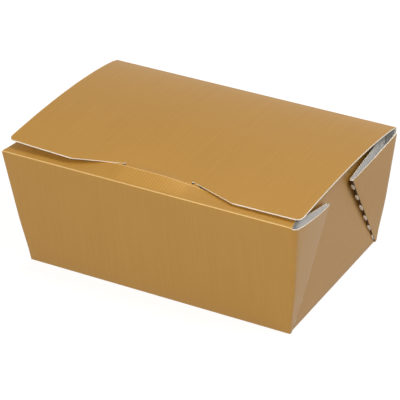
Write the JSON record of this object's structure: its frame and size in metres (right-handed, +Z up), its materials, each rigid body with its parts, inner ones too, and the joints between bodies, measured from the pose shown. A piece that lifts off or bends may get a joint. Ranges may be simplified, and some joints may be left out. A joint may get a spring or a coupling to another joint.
{
  "type": "ballotin box",
  "caption": "Flared card sweet box folded from one sheet, with outside corner gussets on a perforated crease and a slit-tongue lid that swings on its rear crease",
  "frame": {"origin": "on the table, under the middle of the box", "axes": "+X along the box, +Y from the front flap to the hinged rear crease, +Z up"},
  "size_m": [0.1442, 0.0958, 0.0629],
  "materials": {
    "gold_card": "satin metallic gold coating outside, plain white inside and on cut edges"
  },
  "bodies": {
    "carton": {"carton": "gold_card"},
    "lid": {"lid": "gold_card"}
  },
  "joints": [
    {"name": "lid_crease", "type": "hinge", "parent": "carton", "child": "lid", "pos_m": [0, 0.0475, 0.05705], "axis": [-1, 0, 0], "range_deg": [0, 180]}
  ]
}
